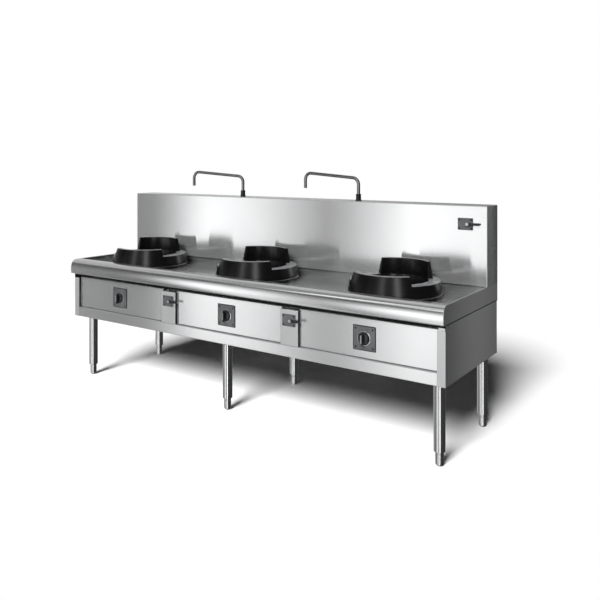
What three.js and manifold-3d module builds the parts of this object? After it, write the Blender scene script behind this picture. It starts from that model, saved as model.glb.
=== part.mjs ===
// Three-burner gas wok range in folded stainless sheet, on six round legs.
// Millimetres, +Z up. X runs along the range, -Y is the cook's side, z = 0 is the floor.
// Inside the group, y = 0 is the front face of the body; the group is moved so that the
// origin lies under the middle of the whole range.

import * as THREE from 'three';
import { mergeVertices } from 'three/addons/utils/BufferGeometryUtils.js';
import Module from 'manifold-3d';

const wasm = await Module();
wasm.setup();

// ---------------------------------------------------------------- driving dimensions

const LENGTH = 2400; // over the side rims
const DEPTH = 645; // front face of the body to its back
const NOSE = 28; // the front rail stands this far in front of the body
const BODY_BOTTOM = 365;
const RAIL_BOTTOM = 625; // lower edge of the front rail and the side rims
const RIM_TOP = 707;
const DECK_Z = 668; // top of the deck floor
const SPLASH_FRONT = 500; // y of the splashback's front face
const SPLASH_TOP = 1090;
const RAIL_BACK = 42; // y where the rail's flat top turns down into the deck

const BAY_PITCH = 806.8; // front panels, centre to centre
const PILASTER_WIDTH = 104;
const STILE_WIDTH = 40.7;
const PANEL_RECESS = 15;
const PANEL_BOTTOM = 421;
const PANEL_TOP = 601;
const PILASTER_TOP = 593;

const RING_PITCH = 830; // burners, centre to centre
const RING_Y = 271;
const RING_RADIUS = 226;
const RING_TURN = [20, 11.5, 0]; // degrees that each loose ring is turned on its seat
const KNOB_Z = 512;
const LEVER_Z = 542;

const SPOUT_X = [-346, 460];
const SPOUT_Y = 572.5;
const SPOUT_REACH = 372;
const SPOUT_TURN = [5.3, -5.3]; // degrees about the upright axis, from straight along -X

const LEG_X = [
  [-1126, -50, 1136], // front row
  [-1106, 6, 1136], // rear row
];
const LEG_Y = [82, 612];
const LEG_RADIUS = 25.4;

const SHEET = 2; // thickness of all the folded sheet
const GAP = 0.3; // between pieces that touch

const HALF = LENGTH / 2;
const RING_SEGMENTS = 40;
const PILASTER_X = [-BAY_PITCH / 2, BAY_PITCH / 2];
const PANEL_X = [-BAY_PITCH, 0, BAY_PITCH];
const RING_X = [-RING_PITCH, 0, RING_PITCH];
const OPENING_WIDTH = BAY_PITCH - PILASTER_WIDTH;

// ---------------------------------------------------------------- solids

/** A closed geometry as a solid for joining and cutting. */
function solid(geometry) {
  const bare = geometry.clone();
  bare.deleteAttribute('normal');
  bare.deleteAttribute('uv');
  const merged = mergeVertices(bare, 1e-3);
  const corners = merged.index.array;
  const faces = [];
  for (let i = 0; i < corners.length; i += 3) {
    const [a, b, c] = corners.slice(i, i + 3);
    if (a !== b && b !== c && c !== a) faces.push(a, b, c);
  }
  const vertProperties = new Float32Array(merged.attributes.position.array);
  return new wasm.Manifold(new wasm.Mesh({ numProp: 3, vertProperties, triVerts: new Uint32Array(faces) }));
}

/** A joined or cut solid as a geometry again. */
function geometryOf(shape) {
  const mesh = shape.getMesh();
  const geometry = new THREE.BufferGeometry();
  geometry.setAttribute('position', new THREE.BufferAttribute(new Float32Array(mesh.vertProperties), 3));
  geometry.setIndex(new THREE.BufferAttribute(new Uint32Array(mesh.triVerts), 1));
  return geometry;
}

/** The solids joined into one. */
function join(...shapes) {
  return shapes.reduce((whole, shape) => whole.add(shape));
}

/** A block between two corners, each given as [x, y, z]. */
function block(low, high) {
  const size = high.map((value, i) => value - low[i]);
  const place = new THREE.Matrix4().makeScale(...size).setPosition(...low);
  return solid(new THREE.BoxGeometry(1, 1, 1).translate(0.5, 0.5, 0.5).applyMatrix4(place));
}

/** An outline of [u, v] points pushed along an axis: x takes (y, z), y takes (z, x), z takes (x, y). */
function prism(axis, outline, from, to) {
  const shape = new THREE.Shape(outline.map(([u, v]) => new THREE.Vector2(u, v)));
  const geometry = new THREE.ExtrudeGeometry(shape, { depth: 1, bevelEnabled: false });
  const x = new THREE.Vector3(1, 0, 0);
  const y = new THREE.Vector3(0, 1, 0);
  const z = new THREE.Vector3(0, 0, 1);
  const [u, v, w] = { x: [y, z, x], y: [z, x, y], z: [x, y, z] }[axis];
  const place = new THREE.Matrix4().makeBasis(u, v, w.clone().multiplyScalar(to - from));
  return solid(geometry.applyMatrix4(place.setPosition(w.multiplyScalar(from))));
}

/** A closed profile of [radius, z] points turned about the upright axis. */
function turned(profile, segments, closed = false) {
  const points = profile.map(([r, z]) => new THREE.Vector2(r, z));
  if (closed) points.push(points[0].clone());
  return solid(new THREE.LatheGeometry(points, segments).rotateX(Math.PI / 2));
}

/** A round bar from one point to another, along any direction. */
function bar(from, to, radius, sides = 20) {
  const start = new THREE.Vector3(...from);
  const run = new THREE.Vector3(...to).sub(start);
  const cylinder = new THREE.CylinderGeometry(radius, radius, run.length(), sides);
  cylinder.translate(0, run.length() / 2, 0);
  const turn = new THREE.Quaternion().setFromUnitVectors(new THREE.Vector3(0, 1, 0), run.clone().normalize());
  return solid(cylinder.applyQuaternion(turn).translate(...start));
}

/** The corners of a path with each inner corner rounded into a few short runs. */
function roundedPath(corners, bend, steps = 4) {
  const points = corners.map((corner) => new THREE.Vector3(...corner));
  const path = [points[0]];
  for (let i = 1; i < points.length - 1; i += 1) {
    const from = points[i - 1].clone().sub(points[i]).setLength(bend).add(points[i]);
    const to = points[i + 1].clone().sub(points[i]).setLength(bend).add(points[i]);
    path.push(...new THREE.QuadraticBezierCurve3(from, points[i], to).getPoints(steps));
  }
  return [...path, points[points.length - 1]];
}

/** A pipe along straight runs with rounded corners, mitred where its short runs meet. */
function pipe(corners, radius, bend, sides = 12) {
  const path = roundedPath(corners, bend);
  const runs = path.slice(1).map((point, i) => point.clone().sub(path[i]).normalize());
  const turn = new THREE.Quaternion().setFromUnitVectors(new THREE.Vector3(0, 0, 1), runs[0]);
  const section = arc([0, 0], radius, 0, 360, sides).slice(0, sides);
  let ring = section.map(([u, v]) => new THREE.Vector3(u, v, 0).applyQuaternion(turn).add(path[0]));
  const rings = [ring];
  runs.forEach((run, i) => {
    const mitre = run.clone().add(runs[i + 1] ?? run).normalize();
    ring = ring.map((point) => {
      const travel = path[i + 1].clone().sub(point).dot(mitre) / run.dot(mitre);
      return point.clone().addScaledVector(run, travel);
    });
    rings.push(ring);
  });
  const faces = [];
  rings.slice(1).forEach((_, i) => {
    section.forEach((__, j) => {
      const [a, b] = [i * sides + j, i * sides + ((j + 1) % sides)];
      faces.push(a, b, b + sides, a, b + sides, a + sides);
    });
  });
  const end = (rings.length - 1) * sides;
  for (let j = 1; j < sides - 1; j += 1) faces.push(0, j + 1, j, end, end + j, end + j + 1);
  const geometry = new THREE.BufferGeometry().setFromPoints(rings.flat());
  return solid(geometry.setIndex(faces));
}

/** Points on an arc about [u, v], angles in degrees. */
function arc([u, v], radius, from, to, steps) {
  return Array.from({ length: steps + 1 }, (_, i) => {
    const angle = THREE.MathUtils.degToRad(from + ((to - from) * i) / steps);
    return [u + radius * Math.cos(angle), v + radius * Math.sin(angle)];
  });
}

/** The outline of a folded sheet: the path is its outer face, and the metal lies on its left. */
function folded(path, thickness = SHEET) {
  const inner = path.map((point, i) => {
    const before = path[Math.max(i - 1, 0)];
    const after = path[Math.min(i + 1, path.length - 1)];
    const sideOf = (a, b) => {
      const run = Math.hypot(b[0] - a[0], b[1] - a[1]) || 1;
      return [-(b[1] - a[1]) / run, (b[0] - a[0]) / run];
    };
    const first = i > 0 ? sideOf(before, point) : sideOf(point, after);
    const second = i < path.length - 1 ? sideOf(point, after) : first;
    const reach = thickness / (1 + first[0] * second[0] + first[1] * second[1]);
    return [point[0] + (first[0] + second[0]) * reach, point[1] + (first[1] + second[1]) * reach];
  });
  return [...path, ...inner.reverse()];
}

// ---------------------------------------------------------------- materials

const finish = (color, roughness, metalness) => new THREE.MeshStandardMaterial({ color, roughness, metalness });
const FINISHES = {
  brushedSheet: finish(0xc9cbcc, 0.35, 1),
  polishedSheet: finish(0xd6d8d9, 0.2, 1),
  legTube: finish(0xc4c6c8, 0.15, 1),
  frameSteel: finish(0x6b6e70, 0.6, 0.8),
  castIron: finish(0x191a1b, 0.6, 0.6),
  burnerIron: finish(0x2c2a28, 0.7, 0.6),
  gasPipe: finish(0x8a8c8e, 0.5, 0.9),
  waterPipe: finish(0xb9bcbe, 0.3, 1),
  brass: finish(0xb08d4a, 0.4, 1),
  dialPlate: finish(0x6a6a6a, 0.5, 0.4),
  knobBlack: finish(0x121212, 0.45, 0),
  leverBlack: finish(0x2b2b2b, 0.4, 0.6),
  spoutTube: finish(0x77797b, 0.2, 1),
  nutBlack: finish(0x141414, 0.5, 0.3),
};

const range = new THREE.Group();
range.position.y = -(DEPTH - NOSE) / 2;

/** Adds one named piece to the range. */
function piece(name, shape, material, [x, y, z] = [0, 0, 0]) {
  const mesh = new THREE.Mesh(geometryOf(shape), material);
  mesh.name = name;
  mesh.position.set(x, y, z);
  range.add(mesh);
}

// ---------------------------------------------------------------- frame, legs and feet

const FRAME_TUBE = 40;
const FRAME_HEIGHT = 30;
const CROSS_X = [-1116, -22, 1136];

/** Welded box-tube frame under the body, with a cross tube near each pair of legs. */
function baseFrame() {
  const low = BODY_BOTTOM + GAP;
  const high = low + FRAME_HEIGHT;
  const end = HALF - 10;
  const half = FRAME_TUBE / 2;
  const along = LEG_Y.map((y) => block([-end, y - half, low], [end, y + half, high]));
  const across = CROSS_X.map((x) => block([x - half, LEG_Y[0], low], [x + half, LEG_Y[1], high]));
  return join(...along, ...across);
}

const TUBE_BOTTOM = 62;
const SOCKET_HEIGHT = 18;
const FOOT_STEM = 15.4;
const FOOT_BORE = 16;

/** Two-inch leg tube: a socket at the top, a bore for the foot's stem at the bottom. */
function leg() {
  const top = BODY_BOTTOM - GAP;
  return turned(
    [
      [0, 142],
      [FOOT_BORE, 142],
      [FOOT_BORE, TUBE_BOTTOM],
      [LEG_RADIUS - 2, TUBE_BOTTOM],
      [LEG_RADIUS, TUBE_BOTTOM + 3],
      [LEG_RADIUS, top - SOCKET_HEIGHT],
      [LEG_RADIUS + 1, top - SOCKET_HEIGHT + 1],
      [LEG_RADIUS + 1, top],
      [0, top],
    ],
    24,
  );
}

/** Bullet foot that screws in and out of the leg. */
function foot() {
  const shoulder = TUBE_BOTTOM - GAP;
  return turned(
    [
      [0, 0],
      [11, 0],
      [18, 9],
      [18.5, shoulder],
      [FOOT_STEM, shoulder],
      [FOOT_STEM, 130],
      [0, 130],
    ],
    20,
  );
}

piece('base_frame', baseFrame(), FINISHES.frameSteel);
['front', 'rear'].forEach((row, j) => {
  ['left', 'middle', 'right'].forEach((side, i) => {
    piece(`leg_${row}_${side}`, leg(), FINISHES.legTube, [LEG_X[j][i], LEG_Y[j], 0]);
    piece(`foot_${row}_${side}`, foot(), FINISHES.legTube, [LEG_X[j][i], LEG_Y[j], 0]);
  });
});

// ---------------------------------------------------------------- body panels

const SIDE_FACE = HALF - SHEET - GAP; // outer face of the side panels, inside the rims
const STILE_TOP = 597;
const APRON_Y = 30;
const APRON_BOTTOM = 603;

/** Side sheet with its front edge folded round to make the stile, cut out for the rail. side is -1 or 1. */
function sidePanel(side) {
  const outer = side * SIDE_FACE;
  const inner = side * (SIDE_FACE - SHEET);
  const stile = side * (HALF - STILE_WIDTH);
  const [x0, x1] = [Math.min(outer, inner), Math.max(outer, inner)];
  const [s0, s1] = [Math.min(outer, stile), Math.max(outer, stile)];
  const sheet = block([x0, 0, BODY_BOTTOM], [x1, DEPTH - SHEET - GAP, DECK_Z - SHEET - GAP]);
  const notch = block([x0 - 1, -1, RAIL_BOTTOM - GAP], [x1 + 1, RAIL_BACK - SHEET - GAP, DECK_Z]);
  const slot = block([x0 - 1, APRON_Y - GAP, APRON_BOTTOM - GAP], [x1 + 1, APRON_Y + SHEET + GAP, DECK_Z]);
  return join(sheet.subtract(notch).subtract(slot), block([s0, 0, BODY_BOTTOM], [s1, SHEET, STILE_TOP]));
}

const SERVICE_NOTCH_X = 1072; // the back is cut away to the right of this, for the supply pipes
const SERVICE_NOTCH_TOP = 622;

/** Flat back, full height, with a service notch in its lower right corner (seen from the front). */
function backPanel() {
  const edge = SIDE_FACE;
  const top = SPLASH_TOP - SHEET - GAP;
  const outline = [
    [BODY_BOTTOM, -edge],
    [top, -edge],
    [top, edge],
    [SERVICE_NOTCH_TOP, edge],
    [SERVICE_NOTCH_TOP, SERVICE_NOTCH_X],
    [BODY_BOTTOM, SERVICE_NOTCH_X],
  ];
  return prism('y', outline.reverse(), DEPTH - SHEET, DEPTH);
}

/** Lower front rail: a channel whose upper lip is the ledge that the panels stand on. */
function bottomRail() {
  const edge = HALF - STILE_WIDTH - GAP;
  const path = [
    [PANEL_RECESS, PANEL_BOTTOM],
    [0, PANEL_BOTTOM],
    [0, BODY_BOTTOM],
    [LEG_Y[0] - FRAME_TUBE / 2 - GAP, BODY_BOTTOM],
  ];
  return prism('x', folded(path), -edge, edge);
}

const LEVER_SIDESTEP = 12; // the valve spindles stand this far right of their plates' middle
const SPINDLE_HOLE = 6;
const MANIFOLD_Y = 70;
const MANIFOLD_RADIUS = 17;

/** Upright between two front panels: a channel with a hole for the lever's spindle. */
function pilaster() {
  const half = PILASTER_WIDTH / 2;
  const back = MANIFOLD_Y - MANIFOLD_RADIUS - GAP;
  const path = [
    [-half, back],
    [-half, 0],
    [half, 0],
    [half, back],
  ];
  const channel = prism('z', folded(path), PANEL_BOTTOM + GAP, PILASTER_TOP);
  return channel.subtract(bar([LEVER_SIDESTEP, -5, LEVER_Z], [LEVER_SIDESTEP, 5, LEVER_Z], SPINDLE_HOLE));
}

/** Front panel with its top and bottom edges folded back, and a hole for the knob's spindle. */
function frontPanel() {
  const half = OPENING_WIDTH / 2 - GAP;
  const path = [
    [PANEL_RECESS + SHEET + 10, PANEL_TOP],
    [PANEL_RECESS, PANEL_TOP],
    [PANEL_RECESS, PANEL_BOTTOM + GAP],
    [PANEL_RECESS + SHEET + 10, PANEL_BOTTOM + GAP],
  ];
  const sheet = prism('x', folded(path), -half, half);
  return sheet.subtract(bar([0, 0, KNOB_Z], [0, 20, KNOB_Z], SPINDLE_HOLE));
}

piece('left_side_panel', sidePanel(-1), FINISHES.brushedSheet);
piece('right_side_panel', sidePanel(1), FINISHES.brushedSheet);
piece('back_panel', backPanel(), FINISHES.brushedSheet);
piece('bottom_rail', bottomRail(), FINISHES.brushedSheet);
PILASTER_X.forEach((x, i) => piece(`pilaster_${i + 1}`, pilaster(), FINISHES.brushedSheet, [x, 0, 0]));
PANEL_X.forEach((x, i) => piece(`front_panel_${i + 1}`, frontPanel(), FINISHES.brushedSheet, [x, 0, 0]));

// ---------------------------------------------------------------- rail, rims, deck and splashback

const CORNER = 24; // the rail's upper front corner
const LIP = 6; // its lower front corner
const FACE = 130; // the gentle curve of its face
const FACE_UP = 12; // degrees that the face leans up at its top

/** The rail's front curve, from its flat top round to its flat underside, as [y, z] points. */
function noseCurve(steps = 6) {
  const sin = (degrees) => Math.sin(THREE.MathUtils.degToRad(degrees));
  const cos = (degrees) => Math.cos(THREE.MathUtils.degToRad(degrees));
  const faceY = FACE - NOSE;
  const faceZ = RIM_TOP - CORNER - (FACE - CORNER) * sin(FACE_UP);
  const cornerAt = [faceY - (FACE - CORNER) * cos(FACE_UP), RIM_TOP - CORNER];
  const drop = faceZ - RAIL_BOTTOM - LIP;
  const faceDown = THREE.MathUtils.radToDeg(Math.asin(drop / (FACE - LIP)));
  const lipAt = [faceY - (FACE - LIP) * cos(faceDown), faceZ - drop];
  return [
    ...arc(cornerAt, CORNER, 90, 180 - FACE_UP, steps),
    ...arc([faceY, faceZ], FACE, 180 - FACE_UP, 180 + faceDown, steps).slice(1),
    ...arc(lipAt, LIP, 180 + faceDown, 270, 3).slice(1),
  ];
}

/** Front rail: folded over the deck's front, round the nose, and down behind the panels. */
function frontRail() {
  const end = HALF - SHEET - GAP;
  const path = [
    [RAIL_BACK, DECK_Z + GAP],
    [RAIL_BACK, RIM_TOP],
    ...noseCurve(),
    [APRON_Y, RAIL_BOTTOM],
    [APRON_Y, APRON_BOTTOM],
  ];
  return prism('x', folded(path), -end, end);
}

const RIM_WIDTH = 9;

/** Side rim: an end plate of the rail's own outline, with a narrow top and a wall down to the deck. */
function sideRim(side) {
  const outline = [[DEPTH, RAIL_BOTTOM], [DEPTH, RIM_TOP], ...noseCurve()];
  const span = (from, to) => [Math.min(side * from, side * to), Math.max(side * from, side * to)];
  const plate = prism('x', outline, ...span(HALF - SHEET, HALF));
  const [top0, top1] = span(HALF - RIM_WIDTH, HALF - SHEET / 2);
  const [wall0, wall1] = span(HALF - RIM_WIDTH, HALF - RIM_WIDTH + SHEET);
  const front = RAIL_BACK + GAP;
  const back = SPLASH_FRONT - GAP;
  const top = block([top0, front, RIM_TOP - SHEET], [top1, back, RIM_TOP]);
  const wall = block([wall0, front, DECK_Z + GAP], [wall1, back, RIM_TOP]);
  return join(plate, top, wall);
}

const UPSTAND_Y = SPLASH_FRONT + 10;
const UPSTAND_TOP = 724;
const CHAMBER_RADIUS = 166;
const DECK_HOLE = CHAMBER_RADIUS + 3;

/** Deck floor with three burner holes; its back edge turns up behind the splashback's foot. */
function deckTray() {
  const edge = SIDE_FACE;
  const path = [
    [UPSTAND_Y, UPSTAND_TOP],
    [UPSTAND_Y, DECK_Z],
    [APRON_Y + GAP, DECK_Z],
  ];
  const sheet = prism('x', folded(path.reverse(), -SHEET).reverse(), -edge, edge);
  const holes = RING_X.map((x) => bar([x, RING_Y, DECK_Z - 20], [x, RING_Y, DECK_Z + 20], DECK_HOLE, RING_SEGMENTS));
  return sheet.subtract(join(...holes));
}

const FLUSH_PLATE_X = 1092;
const FLUSH_Z = 1001;
const SPOUT_HOLE = 10;

/** Splashback: front, top and both ends of the rear column as one folded cover, hemmed at its foot. */
function splashback() {
  const foot = RIM_TOP + GAP;
  const inside = HALF - SHEET;
  const cover = block([-HALF, SPLASH_FRONT, foot], [HALF, DEPTH, SPLASH_TOP]);
  const room = block([-inside, SPLASH_FRONT + SHEET, foot + SHEET], [inside, DEPTH + 9, SPLASH_TOP - SHEET]);
  const mouth = block([-inside, SPLASH_FRONT + 7, foot - 9], [inside, DEPTH + 9, foot + 9]);
  const holes = SPOUT_X.map((x) => bar([x, SPOUT_Y, SPLASH_TOP - 9], [x, SPOUT_Y, SPLASH_TOP + 9], SPOUT_HOLE));
  const spindle = FLUSH_PLATE_X + LEVER_SIDESTEP;
  const flush = bar([spindle, SPLASH_FRONT - 5, FLUSH_Z], [spindle, SPLASH_FRONT + 5, FLUSH_Z], SPINDLE_HOLE);
  return cover.subtract(room).subtract(mouth).subtract(join(...holes, flush));
}

piece('front_rail', frontRail(), FINISHES.polishedSheet);
piece('left_rim', sideRim(-1), FINISHES.polishedSheet);
piece('right_rim', sideRim(1), FINISHES.polishedSheet);
piece('deck_tray', deckTray(), FINISHES.brushedSheet);
piece('splashback', splashback(), FINISHES.polishedSheet);

// ---------------------------------------------------------------- burners and wok rings

const COLLAR_TOP = 688;
const CHAMBER_WALL = 6;
const CHAMBER_FLOOR = 470;
const CHAMBER_FOOT = 114;
const BURNER_THROAT = 60;

/** Combustion chamber: a flanged cast cup hung in the deck hole, its floor open round the burner. */
function chamber() {
  const foot = DECK_Z + GAP;
  const inner = CHAMBER_RADIUS - CHAMBER_WALL;
  return turned(
    [
      [CHAMBER_RADIUS, foot],
      [RING_RADIUS, foot],
      [RING_RADIUS, COLLAR_TOP - 4],
      [RING_RADIUS - 4, COLLAR_TOP],
      [inner, COLLAR_TOP],
      [inner, 640],
      [CHAMBER_FOOT - CHAMBER_WALL, CHAMBER_FLOOR + CHAMBER_WALL],
      [BURNER_THROAT, CHAMBER_FLOOR + CHAMBER_WALL],
      [BURNER_THROAT, CHAMBER_FLOOR],
      [CHAMBER_FOOT, CHAMBER_FLOOR],
      [CHAMBER_RADIUS, 640],
    ],
    RING_SEGMENTS,
    true,
  );
}

const BURNER_CUP = 50;
const INJECTOR_Z = 460;

/** Burner head: a cup through the chamber floor, a flange on it and a domed top. */
function burnerHead() {
  const seat = CHAMBER_FLOOR + CHAMBER_WALL + GAP;
  return turned(
    [
      [0, 452],
      [BURNER_CUP - 3, 452],
      [BURNER_CUP, 456],
      [BURNER_CUP, seat],
      [BURNER_THROAT + 14, seat],
      [BURNER_THROAT + 14, seat + 9],
      [BURNER_THROAT, seat + 20],
      [26, seat + 28],
      [0, seat + 30],
    ],
    24,
  );
}

const LOW_TIER = 744; // flat top of the ring between its walls
const LOW_TIER_RADIUS = 215;
const BORE = 158;
const FRONT_WALL_TOP = 785;
const SHIELD_TOP = 824;
const FRONT_HALF_SPAN = 47; // degrees at the wall's foot
const SHIELD_HALF_SPAN = 53;
const WALL_LEAN = 6; // degrees that the walls' ends lean in

/** Keeps one side of an upright plane through the ring's axis, leaning in towards the top. */
function keepSide(degrees, side) {
  const reach = 600;
  const half = new THREE.BoxGeometry(reach, reach, reach).translate(0, (side * reach) / 2, 0);
  half.rotateX(-side * THREE.MathUtils.degToRad(WALL_LEAN));
  half.rotateZ(THREE.MathUtils.degToRad(degrees));
  return solid(half.translate(0, 0, LOW_TIER));
}

/** A wall of the given [radius, z] section, round the ring from middle - span to middle + span. */
function ringWall(section, middle, span) {
  const whole = turned(section, RING_SEGMENTS, true);
  return whole.intersect(keepSide(middle - span, 1)).intersect(keepSide(middle + span, -1));
}

/** Wok ring: one casting, hollow below, with a low wall in front and a tall shield behind. */
function wokRing() {
  const foot = COLLAR_TOP + GAP;
  const base = turned(
    [
      [RING_RADIUS - 12, foot],
      [RING_RADIUS - 1, foot],
      [RING_RADIUS - 2, foot + 12],
      [LOW_TIER_RADIUS, LOW_TIER],
      [BORE, LOW_TIER],
      [150, 700],
      [150, 680],
      [157.5, 680],
      [157.5, 700],
      [166, LOW_TIER - 12],
      [LOW_TIER_RADIUS - 11, LOW_TIER - 12],
    ],
    RING_SEGMENTS,
    true,
  );
  const sink = 4; // the walls run this far down into the base
  const frontSection = [
    [LOW_TIER_RADIUS - 28, LOW_TIER - sink],
    [LOW_TIER_RADIUS, LOW_TIER - sink],
    [LOW_TIER_RADIUS, LOW_TIER],
    [201, FRONT_WALL_TOP],
    [176, FRONT_WALL_TOP],
  ];
  const shieldSection = [
    [BORE, LOW_TIER - sink],
    [184, LOW_TIER - sink],
    [184, LOW_TIER],
    [173, SHIELD_TOP],
    [BORE, SHIELD_TOP],
  ];
  const front = ringWall(frontSection, -90, FRONT_HALF_SPAN);
  const shield = ringWall(shieldSection, 90, SHIELD_HALF_SPAN);
  return join(base, front, shield);
}

RING_X.forEach((x, i) => {
  piece(`chamber_${i + 1}`, chamber(), FINISHES.castIron, [x, RING_Y, 0]);
  piece(`burner_head_${i + 1}`, burnerHead(), FINISHES.burnerIron, [x, RING_Y, 0]);
  piece(`wok_ring_${i + 1}`, wokRing().rotate([0, 0, RING_TURN[i]]), FINISHES.castIron, [x, RING_Y, 0]);
});

// ---------------------------------------------------------------- gas side

const SUPPLY_END_Y = 606; // where both supply pipes stop, inside the service notch
const GAS_BRANCH_X = 1150;
const VALVE_FRONT = 20;
const KNOB_PLATE = [116, 112];
const KNOB_RADIUS = 26;
const KNOB_FRONT = -19;

/** Gas manifold: along the front behind the knobs, then back to the supply. */
function gasManifold() {
  const start = -BAY_PITCH - 45;
  const corners = [
    [start, MANIFOLD_Y, KNOB_Z],
    [GAS_BRANCH_X, MANIFOLD_Y, KNOB_Z],
    [GAS_BRANCH_X, SUPPLY_END_Y, KNOB_Z],
  ];
  const bore = [[GAS_BRANCH_X, SUPPLY_END_Y - 30, KNOB_Z], [GAS_BRANCH_X, SUPPLY_END_Y + 5, KNOB_Z]];
  return pipe(corners, MANIFOLD_RADIUS, 50, 16).subtract(bar(...bore, MANIFOLD_RADIUS - 4, 16));
}

/** Gas valve on the manifold, with its injector pipe down and back to the burner beside it. */
function gasValve(ringOffset) {
  const back = MANIFOLD_Y - MANIFOLD_RADIUS - GAP;
  const y = 36;
  const body = block([-16, VALVE_FRONT, KNOB_Z - 18], [16, back, KNOB_Z + 18]);
  const corners = [
    [0, y, KNOB_Z - 10],
    [0, y, INJECTOR_Z],
    [0, 110, INJECTOR_Z],
    [ringOffset, 170, INJECTOR_Z],
    [ringOffset, RING_Y - BURNER_CUP - GAP, INJECTOR_Z],
  ];
  const straight = corners.filter((corner, i) => ringOffset !== 0 || i < 2 || i === 4);
  return join(body, pipe(straight, 8, 18, 10));
}

/** Plate behind the knob, with a raised bezel round it. */
function knobPlate() {
  const [width, height] = KNOB_PLATE;
  const back = PANEL_RECESS - GAP;
  const face = back - 3;
  const plate = block([-width / 2, face, KNOB_Z - height / 2], [width / 2, back, KNOB_Z + height / 2]);
  const ring = bar([0, face + 1, KNOB_Z], [0, face - 4, KNOB_Z], KNOB_RADIUS + 8, 40);
  const well = bar([0, face, KNOB_Z], [0, face - 9, KNOB_Z], KNOB_RADIUS + 3, 40);
  const hole = bar([0, face - 9, KNOB_Z], [0, back + 9, KNOB_Z], SPINDLE_HOLE);
  return join(plate, ring.subtract(well)).subtract(hole);
}

/** Round knob with a grip bar across it and its spindle behind. */
function gasKnob() {
  const back = PANEL_RECESS - GAP - 3 - GAP;
  const disc = bar([0, back, KNOB_Z], [0, back - 12, KNOB_Z], KNOB_RADIUS, 32);
  const grip = block([-6, KNOB_FRONT, KNOB_Z - 24], [6, back - 6, KNOB_Z + 22]);
  const pointer = block([-2.5, KNOB_FRONT + 2, KNOB_Z - 30], [2.5, back - 6, KNOB_Z - 20]);
  const spindle = bar([0, back - 3, KNOB_Z], [0, VALVE_FRONT - GAP, KNOB_Z], 4, 16);
  return join(disc, grip, pointer, spindle);
}

piece('gas_manifold', gasManifold(), FINISHES.gasPipe);
PANEL_X.forEach((x, i) => {
  piece(`gas_valve_${i + 1}`, gasValve(RING_X[i] - x), FINISHES.brass, [x, 0, 0]);
  piece(`knob_plate_${i + 1}`, knobPlate(), FINISHES.dialPlate, [x, 0, 0]);
  piece(`gas_knob_${i + 1}`, gasKnob(), FINISHES.knobBlack, [x, 0, 0]);
});

// ---------------------------------------------------------------- water side

const VALVE_PLATE = [76, 58];
const WATER_Y = 75;
const WATER_Z = 585;
const WATER_RADIUS = 11;
const LEVER_REACH = 62;
const WATER_BRANCH_X = FLUSH_PLATE_X + LEVER_SIDESTEP;
const FLUSH_Y = SPLASH_FRONT + 31;
const SPRAY_Z = 736;

/** Water manifold behind the pilasters, then back to the supply. */
function waterManifold() {
  const corners = [
    [PILASTER_X[0] - 20, WATER_Y, WATER_Z],
    [WATER_BRANCH_X, WATER_Y, WATER_Z],
    [WATER_BRANCH_X, SUPPLY_END_Y, WATER_Z],
  ];
  const bore = [[WATER_BRANCH_X, SUPPLY_END_Y - 30, WATER_Z], [WATER_BRANCH_X, SUPPLY_END_Y + 5, WATER_Z]];
  return pipe(corners, WATER_RADIUS, 35, 12).subtract(bar(...bore, WATER_RADIUS - 3, 12));
}

const WATER_BODY = 17; // half the width of a water valve's body
const SPOUT_TAIL = 1075;

/** Valve behind a pilaster: an inlet elbow from the manifold, an outlet pipe to its spout. */
function spoutValve(spoutOffset) {
  const body = block([-WATER_BODY, 13, LEVER_Z - 18], [WATER_BODY, 50, LEVER_Z + 18]);
  const inlet = pipe(
    [
      [0, 34, LEVER_Z],
      [0, 34, WATER_Z],
      [0, WATER_Y - WATER_RADIUS - GAP, WATER_Z],
    ],
    7,
    12,
    10,
  );
  const outlet = pipe(
    [
      [0, 40, LEVER_Z],
      [0, SPOUT_Y, LEVER_Z],
      [0, SPOUT_Y, 880],
      [spoutOffset, SPOUT_Y, 950],
      [spoutOffset, SPOUT_Y, SPOUT_TAIL - GAP],
    ],
    8,
    26,
    10,
  );
  return join(body, inlet, outlet);
}

/** Valve behind the splashback: a riser from the manifold, and a spray bar along the column. */
function flushValve() {
  const body = block([-WATER_BODY, SPLASH_FRONT + 13, FLUSH_Z - 18], [WATER_BODY, SPLASH_FRONT + 50, FLUSH_Z + 18]);
  const riser = bar([0, FLUSH_Y, WATER_Z + WATER_RADIUS + GAP], [0, FLUSH_Y, FLUSH_Z], 7, 10);
  const sprayEnd = -HALF + 60 - WATER_BRANCH_X;
  const spray = pipe(
    [
      [0, FLUSH_Y, FLUSH_Z],
      [-52, FLUSH_Y, FLUSH_Z],
      [-52, FLUSH_Y, SPRAY_Z],
      [sprayEnd, FLUSH_Y, SPRAY_Z],
    ],
    7,
    18,
    10,
  );
  return join(body, riser, spray);
}

/** Square plate in front of a lever valve, its spindle hole off to the right. */
function valvePlate() {
  const [width, height] = VALVE_PLATE;
  const plate = block([-width / 2, -3 - GAP, -height / 2], [width / 2, -GAP, height / 2]);
  return plate.subtract(bar([LEVER_SIDESTEP, -9, 0], [LEVER_SIDESTEP, 9, 0], SPINDLE_HOLE));
}

/** Lever with its hub and spindle. Its axis is x = 0, z = 0. */
function valveLever() {
  const hub = bar([0, -3 - 2 * GAP, 0], [0, -16, 0], 9, 24);
  const arm = block([0, -13, -4], [LEVER_REACH, -8, 4]);
  const spindle = bar([0, -5, 0], [0, 13 - GAP, 0], 4, 16);
  return join(hub, arm, spindle);
}

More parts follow.
